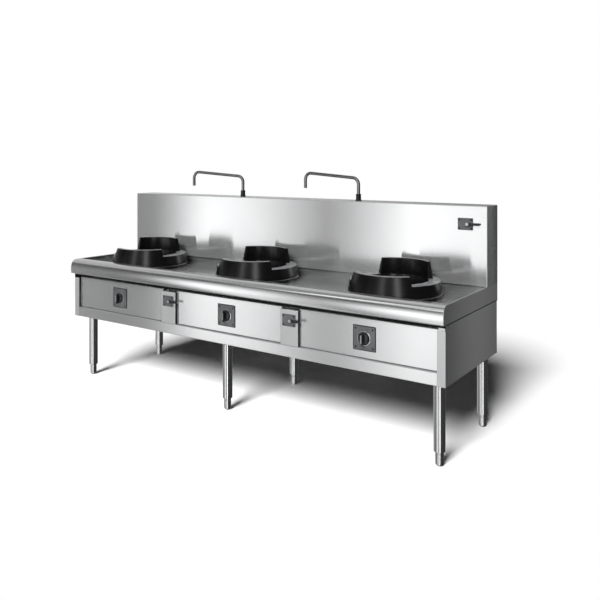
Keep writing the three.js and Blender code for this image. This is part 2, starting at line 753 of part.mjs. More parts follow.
/** Black gland nut on top of the column, with a bore that the spout turns in. */
function spoutBase() {
  const seat = SPLASH_TOP + GAP;
  return turned(
    [
      [0, SPOUT_TAIL],
      [SPOUT_HOLE - 1, SPOUT_TAIL],
      [SPOUT_HOLE - 1, seat],
      [17, seat],
      [17, seat + 5],
      [14, seat + 6],
      [14, seat + 36],
      [9.7, seat + 36],
      [9.7, seat + 8],
      [0, seat + 8],
    ],
    24,
  );
}

/** Swivel spout: riser, a gently rising arm along -X, and a short drop at its end. */
function spout() {
  const foot = SPLASH_TOP + 9;
  const corners = [
    [0, 0, foot],
    [0, 0, 1211],
    [-SPOUT_REACH, 0, 1238],
    [-SPOUT_REACH, 0, 1149],
  ];
  return pipe(corners, 9, 38, 14);
}

piece('water_manifold', waterManifold(), FINISHES.waterPipe);
PILASTER_X.forEach((x, i) => {
  const spindle = x + LEVER_SIDESTEP;
  piece(`water_valve_${i + 1}`, spoutValve(SPOUT_X[i] - spindle), FINISHES.brass, [spindle, 0, 0]);
});
piece('water_valve_3', flushValve(), FINISHES.brass, [WATER_BRANCH_X, 0, 0]);
[
  [PILASTER_X[0], 0, LEVER_Z],
  [PILASTER_X[1], 0, LEVER_Z],
  [FLUSH_PLATE_X, SPLASH_FRONT, FLUSH_Z],
].forEach(([x, y, z], i) => {
  piece(`valve_plate_${i + 1}`, valvePlate(), FINISHES.dialPlate, [x, y, z]);
  piece(`valve_lever_${i + 1}`, valveLever(), FINISHES.leverBlack, [x + LEVER_SIDESTEP, y, z]);
});
SPOUT_X.forEach((x, i) => {
  piece(`spout_base_${i + 1}`, spoutBase(), FINISHES.nutBlack, [x, SPOUT_Y, 0]);
  piece(`spout_${i + 1}`, spout().rotate([0, 0, SPOUT_TURN[i]]), FINISHES.spoutTube, [x, SPOUT_Y, 0]);
});

export default range;
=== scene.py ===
"""Looks for the wok range: folded stainless body, cast wok rings, taps, knobs, legs and studio.

Shapes are worked out in millimetres in the body's own frame, where y = 0 is the front face of the
body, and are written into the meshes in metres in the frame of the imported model.
"""

import bmesh
import bpy
import numpy as np
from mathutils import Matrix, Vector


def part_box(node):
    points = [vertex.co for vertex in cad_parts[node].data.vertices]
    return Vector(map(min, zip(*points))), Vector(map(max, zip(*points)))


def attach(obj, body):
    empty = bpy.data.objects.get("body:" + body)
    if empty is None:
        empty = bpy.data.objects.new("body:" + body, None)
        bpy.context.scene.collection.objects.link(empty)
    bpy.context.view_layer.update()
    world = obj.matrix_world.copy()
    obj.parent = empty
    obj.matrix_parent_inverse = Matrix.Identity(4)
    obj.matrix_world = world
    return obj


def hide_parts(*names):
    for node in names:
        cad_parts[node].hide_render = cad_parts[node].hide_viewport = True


bl_info = {
    "name": "Wok range",
    "version": (1, 0, 0),
    "blender": (4, 5, 0),
    "location": "3D View > Sidebar > Wok range",
    "description": "Builds the visible pieces and finishes of a three-burner wok range",
    "category": "Object",
}

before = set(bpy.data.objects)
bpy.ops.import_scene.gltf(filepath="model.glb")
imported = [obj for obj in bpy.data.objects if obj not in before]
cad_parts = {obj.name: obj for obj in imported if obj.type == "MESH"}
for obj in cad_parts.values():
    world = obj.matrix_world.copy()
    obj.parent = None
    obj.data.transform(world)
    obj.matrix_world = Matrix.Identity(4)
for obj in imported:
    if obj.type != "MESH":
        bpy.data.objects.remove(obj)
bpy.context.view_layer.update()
MM = 0.001
FRONT = np.array([0.0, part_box("left_side_panel")[0].y / MM, 0.0])
BODY = "range"


def cad(node):
    """Lowest and highest corner of a solid, in millimetres in the body's frame."""
    low, high = (np.array(corner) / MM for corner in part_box(node))
    return low - FRONT, high - FRONT


# ------------------------------------------------------------------ sizes and colours


class StudioSettings(bpy.types.PropertyGroup):
    """The camera, the floor and the light."""

    floor_colour: bpy.props.FloatVectorProperty(
        name="Floor", description="Colour of the floor", subtype="COLOR", size=3, default=(0.97, 0.97, 0.97)
    )
    key_power: bpy.props.FloatProperty(
        name="Key light", description="Watts on a square metre from the far soft light in front", default=5.9
    )
    key_angle: bpy.props.FloatProperty(
        name="Key softness", description="Angle that the key light fills", subtype="ANGLE", default=0.4
    )
    ambient: bpy.props.FloatProperty(
        name="Ambient", description="Strength of the room's light on matt surfaces", default=0.02, min=0.0
    )


class SheetSettings(bpy.types.PropertyGroup):
    """The folded sheet."""

    thickness: bpy.props.FloatProperty(
        name="Thickness", description="Thickness of the sheet", default=0.002, unit="LENGTH"
    )
    fold_radius: bpy.props.FloatProperty(
        name="Fold radius",
        description="Radius of a fold at the middle of the sheet",
        default=0.0025,
        unit="LENGTH",
    )
    colour: bpy.props.FloatVectorProperty(
        name="Steel",
        description="Colour of the stainless steel",
        subtype="COLOR",
        size=3,
        default=(0.70, 0.705, 0.71),
    )


class BurnerSettings(bpy.types.PropertyGroup):
    """The wok rings and what is under them."""

    segments: bpy.props.IntProperty(name="Segments", description="Steps round each ring", default=96, min=24)
    edge_radius: bpy.props.FloatProperty(
        name="Edge radius", description="Rounding on the edges of the castings", default=0.004, unit="LENGTH"
    )


class ControlSettings(bpy.types.PropertyGroup):
    """Knobs, levers and spouts."""

    knob_diameter: bpy.props.FloatProperty(
        name="Knob", description="Diameter of a gas knob", default=0.052, unit="LENGTH"
    )
    spout_diameter: bpy.props.FloatProperty(
        name="Spout", description="Outside diameter of a spout's tube", default=0.018, unit="LENGTH"
    )


# ------------------------------------------------------------------ shapes


def grid(points, around=True, along=False, capped=True):
    """Quads over sections of points: point j of section i joins point j + 1 and section i + 1."""
    count, size = points.shape[:2]
    index = np.arange(count * size).reshape(count, size)
    if around:
        index = np.concatenate([index, index[:, :1]], axis=1)
    if along:
        index = np.concatenate([index, index[:1]], axis=0)
    quads = np.stack([index[:-1, :-1], index[:-1, 1:], index[1:, 1:], index[1:, :-1]], axis=-1)
    faces = quads.reshape(-1, 4).tolist()
    if capped and not along:
        faces += [list(range(size)), list(range((count - 1) * size, count * size))]
    return points.reshape(-1, 3), faces


def combine(*shapes):
    """Several shapes as one list of points and one list of faces."""
    starts = np.cumsum([0] + [len(points) for points, _ in shapes])
    faces = [[int(start) + i for i in face] for (_, found), start in zip(shapes, starts) for face in found]
    return np.concatenate([points for points, _ in shapes]), faces


def moved(shape, offset):
    """The shape shifted by [x, y, z]."""
    return shape[0] + np.asarray(offset, float), shape[1]


def spun(shape, degrees):
    """The shape turned about the upright axis: x' = x cos t - y sin t, y' = x sin t + y cos t."""
    c, s = np.cos(np.radians(degrees)), np.sin(np.radians(degrees))
    return shape[0] @ np.array([[c, s, 0], [-s, c, 0], [0, 0, 1]]), shape[1]


def fillet(corners, radius, steps=5, closed=False):
    """A path with each sharp corner swapped for an arc tangent to both sides.

    The arc's centre lies on the bisector, radius / cos(half the turn) from the corner. Corners that
    turn less than 15 degrees stay as they are, since they already belong to a curve.
    """
    corners = np.asarray(corners, float)
    radii = np.broadcast_to(radius, len(corners))
    done = []
    for i, corner in enumerate(corners):
        if not closed and i in (0, len(corners) - 1):
            done.append(corner[None])
            continue
        into, out = corner - corners[i - 1], corners[(i + 1) % len(corners)] - corner
        room = min(np.linalg.norm(into), np.linalg.norm(out)) * 0.49
        into, out = into / np.linalg.norm(into), out / np.linalg.norm(out)
        turn = np.arccos(np.clip(into @ out, -1, 1))
        reach = min(radii[i] * np.tan(turn / 2), room)
        if turn < np.radians(15) or reach < 1e-6:
            done.append(corner[None])
            continue
        true_radius = reach / np.tan(turn / 2)
        inward = (out - into) / np.linalg.norm(out - into)
        centre = corner + inward * true_radius / np.cos(turn / 2)
        swing = np.linspace(-turn / 2, turn / 2, steps + 1)[:, None]
        sideways = (into + out) / np.linalg.norm(into + out)
        done.append(centre + true_radius * (np.sin(swing) * sideways - np.cos(swing) * inward))
    return np.concatenate(done)


def arc(centre, radius, start, end, steps):
    """Points on a circle about a centre, from one angle to another in degrees."""
    angle = np.radians(np.linspace(start, end, steps + 1))
    return np.stack([centre[0] + radius * np.cos(angle), centre[1] + radius * np.sin(angle)], axis=1)


def offset_line(path, distance):
    """A polyline moved to its left, each corner along its bisector, so that the gap stays even."""
    run = np.diff(path, axis=0)
    run /= np.linalg.norm(run, axis=1)[:, None]
    left = np.stack([-run[:, 1], run[:, 0]], axis=1)
    first = np.concatenate([left[:1], left])
    second = np.concatenate([left, left[-1:]])
    return path + (first + second) * (distance / (1 + (first * second).sum(1)))[:, None]


def folded(path, thickness, radius, steps=5):
    """Section of a folded sheet. The path is its outer face, with the metal on its left.

    The middle line is the path moved by half the thickness, with its corners filleted, and the two
    faces are that line moved half the thickness each way.
    """
    middle = fillet(offset_line(np.asarray(path, float), thickness / 2), radius, steps)
    outer, inner = offset_line(middle, -thickness / 2), offset_line(middle, thickness / 2)
    return np.concatenate([outer, inner[::-1]])


def pushed(section, axis, stations):
    """A closed section carried straight along an axis through the given stations."""
    section, stations = np.asarray(section, float), np.asarray(stations, float)
    points = np.empty((len(stations), len(section), 3))
    u, v = {"x": (1, 2), "y": (2, 0), "z": (0, 1)}[axis]
    points[:, :, "xyz".index(axis)] = stations[:, None]
    points[:, :, u] = section[None, :, 0]
    points[:, :, v] = section[None, :, 1]
    return grid(points)


def lathe(profile, segments, closed=False, axis="z"):
    """A profile of [radius, height] turned about an axis: x = r cos t, y = r sin t, z = h.

    About y, z = r sin t and y = -h, so that heights run towards the cook.
    """
    profile = np.asarray(profile, float)
    t = np.arange(segments) / segments * 2 * np.pi
    points = np.empty((len(profile), segments, 3))
    points[:, :, 0] = profile[:, :1] * np.cos(t)
    points[:, :, 1] = profile[:, :1] * np.sin(t)
    points[:, :, 2] = profile[:, 1:]
    if axis == "y":
        points = points[:, :, [0, 2, 1]] * [1, -1, 1]
    return grid(points, along=closed, capped=not closed)


def tube(corners, radius, bend, sides, steps):
    """A round tube along a path with rounded bends: centre + r (cos t N + sin t B) at each point.

    N and B are square to the path, worked out against one slanted direction that no part of any
    path here follows.
    """
    path = fillet(corners, bend, steps)
    run = np.diff(path, axis=0)
    run /= np.linalg.norm(run, axis=1)[:, None]
    along = np.concatenate([run[:1], run[:-1] + run[1:], run[-1:]])
    stretch = 2 / np.maximum(np.linalg.norm(along, axis=1), 1e-9)
    stretch[[0, -1]] = 1
    along /= np.linalg.norm(along, axis=1)[:, None]
    across = np.cross(along, [0.53, 0.31, 0.79])
    across /= np.linalg.norm(across, axis=1)[:, None]
    upright = np.cross(along, across)
    t = np.arange(sides) / sides * 2 * np.pi
    ring = np.cos(t)[None, :, None] * across[:, None] + np.sin(t)[None, :, None] * upright[:, None]
    return grid(path[:, None] + radius * ring)


def round_rectangle(width, height, radius, steps=5):
    """Corner arcs of a rectangle about the origin, anticlockwise."""
    u, v = width / 2 - radius, height / 2 - radius
    centres = [(u, v, 0), (-u, v, 90), (-u, -v, 180), (u, -v, 270)]
    return np.concatenate([arc((a, b), radius, start, start + 90, steps) for a, b, start in centres])


def pad(width, height, radius, levels):
    """A rounded plate facing the cook: its outline drawn in by each level's inset, at that level's depth."""
    rows = []
    for inset, depth in levels:
        outline = round_rectangle(width - 2 * inset, height - 2 * inset, max(radius - inset, 0.2))
        level = np.full((len(outline), 1), float(depth))
        rows.append(np.concatenate([outline[:, :1], level, outline[:, 1:]], axis=1))
    return grid(np.array(rows))


def eased(front, back, edge):
    """Levels of a plate from its back to its front with a quarter-round front edge."""
    swing = np.radians(np.linspace(0, 90, 5))
    side = np.sign(back - front)
    return [(0, back)] + [(edge * (1 - np.cos(a)), front + side * edge * (1 - np.sin(a))) for a in swing]


SHARP = np.radians(35.0)  # edges that turn more than this stay crisp and take a bevel


def make(name, shape, body, finish, replaces=(), bevel=0.0, wall=0.0):
    """Turns a shape into a finished piece that rides on a body and stands for its solids.

    With a wall, the shape is the outer skin of a sheet that thick. Its faces must point out already.
    """
    points, faces = shape
    mesh = bpy.data.meshes.new(name)
    mesh.from_pydata(((points + FRONT) * MM).tolist(), [], faces)
    work = bmesh.new()
    work.from_mesh(mesh)
    bmesh.ops.remove_doubles(work, verts=work.verts, dist=1e-6)
    if not wall:
        bmesh.ops.recalc_face_normals(work, faces=work.faces)
    work.to_mesh(mesh)
    work.free()
    mesh.polygons.foreach_set("use_smooth", np.ones(len(mesh.polygons), bool))
    mesh.set_sharp_from_angle(angle=SHARP)
    mesh.materials.append(finish)
    piece = bpy.data.objects.new(name, mesh)
    bpy.context.scene.collection.objects.link(piece)
    if wall:
        inside = piece.modifiers.new("Sheet thickness", "SOLIDIFY")
        inside.thickness = wall * MM
        inside.offset = -1.0
    if bevel:
        edge = piece.modifiers.new("Eased edges", "BEVEL")
        edge.width = bevel * MM
        edge.segments = 2
        edge.limit_method = "ANGLE"
        edge.angle_limit = SHARP
    weighted = piece.modifiers.new("Flat faces stay flat", "WEIGHTED_NORMAL")
    weighted.keep_sharp = True
    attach(piece, body)
    if replaces:
        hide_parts(*replaces)


# ------------------------------------------------------------------ finishes


def linear(code):
    """An sRGB hex value as linear red, green, blue and alpha."""
    srgb = np.array([int(code[i : i + 2], 16) for i in (1, 3, 5)]) / 255
    return (*np.where(srgb <= 0.04045, srgb / 12.92, ((srgb + 0.055) / 1.055) ** 2.4), 1.0)


def add(tree, kind, settings=None, **links):
    """A node of a kind, its settings, and its inputs set to values or linked to sockets."""
    node = tree.nodes.new("ShaderNode" + kind)
    for key, value in (settings or {}).items():
        setattr(node, key, value)
    for key, value in links.items():
        shade_collar = node.inputs[int(key[1:])] if key[1:].isdigit() else node.inputs[key.replace("_", " ")]
        if isinstance(value, bpy.types.NodeSocket):
            tree.links.new(value, shade_collar)
        else:
            shade_collar.default_value = value
    return node


def blank(name):
    """A material with an empty tree but for its output, and the Object coordinates."""
    material = bpy.data.materials.new(name)
    material.use_nodes = True
    tree = material.node_tree
    tree.nodes.clear()
    output = tree.nodes.new("ShaderNodeOutputMaterial")
    place = add(tree, "TexCoord").outputs["Object"]
    return material, tree, output, place


def ramp(tree, factor, stops):
    """A colour ramp through [position, colour] stops."""
    node = add(tree, "ValToRGB", Fac=factor)
    elements = node.color_ramp.elements
    for element, (position, colour) in zip((elements[0], elements[-1]), (stops[0], stops[-1])):
        element.position = position
        element.color = colour
    for position, colour in stops[1:-1]:
        elements.new(position).color = colour
    return node.outputs["Color"]


def shaded(colour, share):
    """A colour with a share of its brightness."""
    return tuple(c * share for c in colour[:3]) + (1.0,)


SCRATCH_MM = 0.9  # across one brushed line, several times the real one, so that it shows


def grained_steel(name, colour, roughness, spread, mirror, dull=0.0, along="x", depth=0.004):
    """Stainless sheet, rolled and then brushed along one axis, or round and round, along "xy".

    The belt leaves fine parallel lines, depth deep in millimetres. They spread reflections square to
    themselves, by spread, which turns the room's pale cloths into soft bands. Between the
    lines a share of the surface, mirror, stays flat and still gives a faint clear image. A share,
    dull, is torn by the grit and scatters light widely.
    """
    material, tree, output, place = blank(name)
    axis = np.array([float(letter in along) for letter in "xyz"])
    lines = add(tree, "Mapping", Vector=place, Scale=1 - 0.98 * axis)
    density = 1 / (SCRATCH_MM * MM)
    scratch = add(tree, "TexNoise", Vector=lines.outputs[0], Scale=density, Detail=2.0, Roughness=0.5)
    cloud = add(tree, "TexNoise", Vector=place, Scale=3.0, Detail=2.0, Roughness=0.5)
    shade = ramp(tree, cloud.outputs[0], [(0.3, shaded(colour, 0.95)), (0.7, colour)])
    relief = add(tree, "Bump", Strength=1.0, Distance=depth * MM, Height=scratch.outputs[0])
    facing = add(tree, "NewGeometry").outputs["Normal"]
    if along == "xy":
        across = add(tree, "CombineXYZ", Z=1.0)
    else:
        across = add(tree, "VectorMath", {"operation": "CROSS_PRODUCT"}, i0=facing, i1=axis)
    satin = add(
        tree,
        "BsdfPrincipled",
        Base_Color=shade,
        Metallic=1.0,
        Roughness=roughness,
        Anisotropic=spread,
        Tangent=across.outputs[0],
        Normal=relief.outputs[0],
    )
    flat = add(tree, "BsdfPrincipled", Base_Color=shade, Metallic=1.0, Roughness=0.08)
    torn = add(tree, "BsdfPrincipled", Base_Color=shade, Metallic=0.4, Roughness=0.85)
    bright = add(tree, "MixShader", Fac=mirror, i1=satin.outputs[0], i2=flat.outputs[0])
    both = add(tree, "MixShader", Fac=dull, i1=bright.outputs[0], i2=torn.outputs[0])
    tree.links.new(both.outputs[0], output.inputs[0])
    return material


def worn_casting_with_top_sheen(name, paint, iron, grit_mm, relief_mm):
    """Cast iron under black paint, with pale bare iron on the faces that turn up.

    The share of bare iron rises as a face turns up to lie level, and a slow noise leaves it patchy. It stands
    partly for wear where woks are set down, and partly for a painted highlight on the level tops.
    """
    material, tree, output, place = blank(name)
    grit = add(tree, "TexNoise", Vector=place, Scale=1 / (grit_mm * MM), Detail=4.0, Roughness=0.6)
    patch = add(tree, "TexNoise", Vector=place, Scale=22.0, Detail=3.0, Roughness=0.6)
    relief = add(tree, "Bump", Strength=1.0, Distance=relief_mm * MM, Height=grit.outputs[0])
    level = add(tree, "SeparateXYZ", Vector=add(tree, "NewGeometry").outputs["Normal"]).outputs["Z"]
    level_wear_and_sheen = add(tree, "MapRange", Value=level, From_Min=0.55, From_Max=0.95)
    patchy = add(tree, "MapRange", Value=patch.outputs[0], From_Min=0.3, From_Max=0.6, To_Min=0.65)
    pale_top_share = add(tree, "Math", {"operation": "MULTIPLY"}, i0=level_wear_and_sheen.outputs[0], i1=patchy.outputs[0])
    painted = add(
        tree,
        "BsdfPrincipled",
        Base_Color=linear(paint),
        Roughness=0.24,
        Specular_IOR_Level=0.45,
        Normal=relief.outputs[0],
    )
    metal = add(
        tree,
        "BsdfPrincipled",
        Base_Color=linear(iron),
        Metallic=0.9,
        Roughness=0.42,
        Normal=relief.outputs[0],
    )
    both = add(tree, "MixShader", Fac=pale_top_share.outputs[0], i1=painted.outputs[0], i2=metal.outputs[0])
    tree.links.new(both.outputs[0], output.inputs[0])
    return material


GLOSS_SWING = 0.15  # share by which the roughness rises and falls with the grit


def mottled(name, low, high, roughness, metallic, spot_mm, relief_mm):
    """A surface with fine mottling: cast, painted or moulded, by its colours, gloss and grit size."""
    material, tree, output, place = blank(name)
    spots = add(tree, "TexNoise", Vector=place, Scale=1 / (spot_mm * MM), Detail=5.0, Roughness=0.6)
    cloud = add(tree, "TexNoise", Vector=place, Scale=14.0, Detail=3.0, Roughness=0.5)
    shade = ramp(tree, cloud.outputs[0], [(0.35, linear(low)), (0.65, linear(high))])
    gloss = add(
        tree,
        "MapRange",
        Value=spots.outputs[0],
        From_Min=0.3,
        From_Max=0.7,
        To_Min=roughness * (1 - GLOSS_SWING),
        To_Max=roughness * (1 + GLOSS_SWING),
    )
    relief = add(tree, "Bump", Strength=1.0, Distance=relief_mm * MM, Height=spots.outputs[0])
    skin = add(
        tree,
        "BsdfPrincipled",
        Base_Color=shade,
        Metallic=metallic,
        Roughness=gloss.outputs[0],
        Normal=relief.outputs[0],
    )
    tree.links.new(skin.outputs[0], output.inputs[0])
    return material


FINISHES = {}


def mix_finishes(steel):
    """Makes every finish once, from the steel's own colour."""
    base = (*steel, 1.0)
    # Brushed 304 sheet of the front and back: lines along the range, soft upright bands of light.
    FINISHES["panel"] = grained_steel("brushed_304_sheet", base, 0.16, 1.0, 0.0, 0.2)
    # The same sheet on the uprights, brushed along their height, drawn at 0.8 of its brightness: painted
    # shade, so that the uprights read darker than the panels beside them.
    FINISHES["post"] = grained_steel("brushed_304_upright_painted_shade", shaded(base, 0.8), 0.3, 0.9, 0.0, 0.1, along="z")
    # The same sheet on the two sides, with its lines running from front to back.
    FINISHES["side"] = grained_steel("brushed_304_side_sheet", base, 0.12, 1.0, 0.0, 0.03, along="y")
    # Fine-brushed 304 of the column: bright bands, and a faint image of the rings.
    FINISHES["column"] = grained_steel("fine_brushed_304", base, 0.11, 1.0, 0.05, 0.22)
    # The deck's sheet, scrubbed flatter and duller, and drawn at 0.8 of the steel's brightness.
    FINISHES["deck"] = grained_steel("dulled_darker_304_deck", shaded(base, 0.8), 0.2, 0.5, 0.2, 0.16)
    # Polished 304 of the rail and the rims: a clear sheen that follows their curves.
    FINISHES["rail"] = grained_steel("polished_304_rail", base, 0.12, 0.0, 0.1, 0.1)
    # Two-inch tube, polished round and round, so that each pale cloth makes one long upright streak.
    FINISHES["tube"] = grained_steel(
        "polished_304_tube", shaded(base, 0.8), 0.22, 0.9, 0.1, along="xy", depth=0.0005
    )
    # Rolled box section, left as it came, under the body.
    FINISHES["frame"] = mottled("mill_finish_section", "#6F7173", "#85878A", 0.5, 0.9, 2.0, 0.03)
    # Matt black of the strips of painted shade in the slot under the rail, beside the uprights and under the
    # rims, and of the black borders round the knob plates: takes almost all the light.
    FINISHES["seal"] = mottled("black_rubber_seal", "#050505", "#080808", 0.75, 0.0, 2.0, 0.02)
    # Grey cast iron under black heat-proof paint, with the grit of its sand mould, and pale bare iron on
    # every face that turns up: partly wear, partly a painted highlight on the tops.
    FINISHES["casting"] = worn_casting_with_top_sheen("black_painted_cast_iron", "#070708", "#D6D7D8", 1.6, 0.05)
    # Bare cast iron by the flame, browned by heat.
    FINISHES["burner"] = mottled("burnt_cast_iron", "#2A2623", "#3A3531", 0.7, 0.4, 1.4, 0.15)
    # Turned brass, dulled.
    FINISHES["brass"] = mottled("dull_brass", "#9B7C42", "#B8965A", 0.38, 1.0, 1.0, 0.01)
    # Zinc-plated steel of the gas pipe and the water valves.
    FINISHES["gas"] = mottled("zinc_plated_pipe", "#7C7F82", "#94979A", 0.42, 0.9, 3.0, 0.02)
    # Drawn stainless water pipe.
    FINISHES["water"] = mottled("drawn_304_pipe", "#A9ABAD", "#BCBEC0", 0.28, 1.0, 2.0, 0.01)
    # Anodised aluminium in dark grey on the plates. The same dark grey on the collars on top of the legs is
    # painted shade under the body's edge.
    FINISHES["plate"] = mottled("dark_anodised_plate_and_shade_collar", "#48494A", "#545556", 0.4, 0.2, 0.5, 0.006)
    # Moulded phenolic knob, black with a soft gloss.
    FINISHES["knob"] = mottled("black_phenolic", "#0D0D0E", "#131314", 0.28, 0.0, 0.8, 0.008)
    # Satin aluminium inlay along the grip.
    FINISHES["inlay"] = mottled("satin_aluminium_inlay", "#7A7B7C", "#868788", 0.4, 0.5, 0.6, 0.004)
    # Dark chromed levers.
    FINISHES["lever"] = mottled("dark_chrome_lever", "#2B2C2D", "#363738", 0.25, 0.8, 1.2, 0.006)
    # Grey-toned plated brass tube of the spouts.
    FINISHES["spout"] = mottled("plated_spout_tube", "#7C7E80", "#8C8E90", 0.2, 1.0, 2.5, 0.006)
    # Blackened nuts and screws.
    FINISHES["nut"] = mottled("blackened_nut", "#121213", "#1B1B1C", 0.4, 0.3, 0.8, 0.02)
    # Bright zinc of the knob plates' bezels and the levers' hubs.
    FINISHES["bright"] = mottled("bright_zinc_trim", "#A6A8AA", "#BEC0C2", 0.25, 1.0, 0.8, 0.01)


# ------------------------------------------------------------------ studio

CAMERA_PLACE = (2.3086, -2.9915, 1.3028)
CAMERA_TURN = 34.395
CAMERA_LENS = 41.24
CAMERA_SENSOR = 36.0
CAMERA_SHIFT = (-0.0012, -0.2310)
KEY_PLACE = (0.7, -5.6, 4.2)
FLOOR_X = (-3.2, 1.45)
FLOOR_Y = (-1.5, 2.6)

# What metal sees: how white the room is by compass angle in degrees, counted from the range's right
# end. Pale cloths hang in front with dark gaps between them, and the right and the back are dim.
ROOM_STRENGTH = 4.4
ROOM = (
    (-180, 0.12),
    (-150, 0.12),
    (-138.5, 0.03),
    (-136, 0.06),
    (-132.5, 0.46),
    (-128, 0.34),
    (-122, 0.08),
    (-115, 0.46),
    (-108, 0.36),
    (-102, 0.25),
    (-95, 0.6),
    (-88, 0.06),
    (-66, 0.06),
    (-60, 0.9),
    (-54, 0.9),
    (-49, 0.02),
    (64, 0.01),
    (67.5, 0.015),
    (69.8, 0.06),
    (71.5, 0.03),
    (73, 0.01),
    (105, 0.03),
    (130, 0.14),
    (180, 0.12),
)
# The cloths left of this angle fade with height, given as a share from straight down to straight up.
FADE_EDGE = -104
FADE = (
    (0.0, 0.55),
    (0.33, 0.55),
    (0.42, 0.9),
    (0.48, 0.9),
    (0.53, 0.5),
    (0.62, 0.1),
    (0.72, 0.1),
    (0.8, 1.0),
    (0.9, 0.5),
)


def studio_world(ambient):
    """White for the camera, and for metal a room of pale cloths. Matt surfaces get an even faint light.

    The room's strength is the compass's share times the height's share times its full strength.
    """
    world = bpy.data.worlds.new("White studio")
    world.use_nodes = True
    tree = world.node_tree
    tree.nodes.clear()
    output = tree.nodes.new("ShaderNodeOutputWorld")
    way = add(tree, "SeparateXYZ", Vector=add(tree, "TexCoord").outputs["Generated"]).outputs
    angle = add(tree, "Math", {"operation": "ARCTAN2"}, i0=way["Y"], i1=way["X"])
    turn = add(tree, "MapRange", Value=angle.outputs[0], From_Min=-np.pi, From_Max=np.pi)
    cloths = ramp(tree, turn.outputs[0], [((a + 180) / 360, (w, w, w, 1.0)) for a, w in ROOM])
    height = add(tree, "MapRange", Value=way["Z"], From_Min=-1.0, From_Max=1.0)
    fade = ramp(tree, height.outputs[0], [(z, (w, w, w, 1.0)) for z, w in FADE])
    left = add(tree, "Math", {"operation": "LESS_THAN"}, i0=turn.outputs[0], i1=(180 + FADE_EDGE) / 360)
    share = add(tree, "Mix", {"data_type": "FLOAT"}, i0=left.outputs[0], i2=1.0, i3=fade)
    room = add(tree, "Math", {"operation": "MULTIPLY"}, i0=cloths, i1=share.outputs[0])
    lit = add(tree, "Math", {"operation": "MULTIPLY"}, i0=room.outputs[0], i1=ROOM_STRENGTH)
    ray = add(tree, "LightPath").outputs
    seen = add(tree, "Mix", {"data_type": "FLOAT"}, i0=ray["Is Glossy Ray"], i2=ambient, i3=lit.outputs[0])
    level = add(tree, "Mix", {"data_type": "FLOAT"}, i0=ray["Is Camera Ray"], i2=seen.outputs[0], i3=1.0)
    light = add(tree, "Background", Color=(1, 1, 1, 1), Strength=level.outputs[0])
    tree.links.new(light.outputs[0], output.inputs[0])
    bpy.context.scene.world = world


def floor_finish(colour):
    """Matt white paper floor, which metal sees through, so that it shows the room all round instead."""
    material, tree, output, _ = blank("matt_white_floor")
    matt = add(tree, "BsdfDiffuse", Color=(*colour, 1.0))
    clear = add(tree, "BsdfTransparent")
    ray = add(tree, "LightPath").outputs
    both = add(tree, "MixShader", Fac=ray["Is Glossy Ray"], i1=matt.outputs[0], i2=clear.outputs[0])
    tree.links.new(both.outputs[0], output.inputs[0])
    return material


def far_light(name, place, angle, power):
    """A far soft light of a given angular size, aimed at the origin. Metal shows the cloths in its place."""
    lamp = bpy.data.lights.new(name, "SUN")
    lamp.energy = power
    lamp.angle = angle
    light = bpy.data.objects.new(name, lamp)
    bpy.context.scene.collection.objects.link(light)
    light.location = place
    light.rotation_euler = (
        np.arctan2(np.hypot(place[0], place[1]), place[2]),
        0.0,
        np.arctan2(place[1], place[0]) + np.pi / 2,
    )
    light.visible_glossy = False


class BuildStudio(bpy.types.Operator):
    """Floor, light, background and camera"""

    bl_idname = "wokrange.studio"
    bl_label = "Studio"

    def execute(self, context):
        settings = context.scene.wok_studio
        mesh = bpy.data.meshes.new("floor")
        corners = [(FLOOR_X[a], FLOOR_Y[b], 0) for a, b in ((0, 0), (1, 0), (1, 1), (0, 1))]
        mesh.from_pydata(corners, [], [(0, 1, 2, 3)])
        mesh.materials.append(floor_finish(tuple(settings.floor_colour)))
        ground = bpy.data.objects.new("floor", mesh)
        context.scene.collection.objects.link(ground)
        studio_world(settings.ambient)
        far_light("key", KEY_PLACE, settings.key_angle, settings.key_power)
        camera = bpy.data.cameras.new("camera")
        camera.sensor_width = CAMERA_SENSOR
        camera.lens = CAMERA_LENS
        camera.shift_x, camera.shift_y = CAMERA_SHIFT
        eye = bpy.data.objects.new("camera", camera)
        context.scene.collection.objects.link(eye)
        eye.location = CAMERA_PLACE
        eye.rotation_euler = (np.pi / 2, 0.0, np.radians(CAMERA_TURN))
        context.scene.camera = eye
        context.scene.view_settings.view_transform = "Standard"
        return {"FINISHED"}


# ------------------------------------------------------------------ frame, legs and feet

SIDES = ("left", "middle", "right")
ROWS = ("front", "rear")


def corner_post(low, high):
    """Two-inch leg: a tube with a rolled lip below and a pressed collar on top, hollow for the foot. The
    collar's dark grey is painted shade.
    """
    radius, bore, bore_top, shade_collar = 25.4, 16.5, low + 80, high - 19
    post = [(0, bore_top), (bore, bore_top), (bore, low), (radius - 1.5, low), (radius, low + 1.5)]
    post += [(radius, shade_collar - 4), (radius, shade_collar), (0, shade_collar)]
    collar = [(0, shade_collar + 0.5), (radius + 0.9, shade_collar), (radius + 1, high), (0, high)]
    return lathe(fillet(post, 1.5, 3), 48), lathe(fillet(collar, 1.2, 3), 48)


def bullet_foot(low, top):
    """Adjustable foot: a rounded tip on the floor, a groove round it, and the stem that runs up the leg."""
    profile = [(0, low), (10.5, low), (17.6, low + 8), (18.4, low + 14), (18.5, 50), (17.4, 51), (17.4, 53.5)]
    profile += [(18.5, 54.5), (18.5, 61.5), (15.2, 61.5), (15.2, top), (0, top)]
    return lathe(fillet(profile, 1.6, 4), 48)


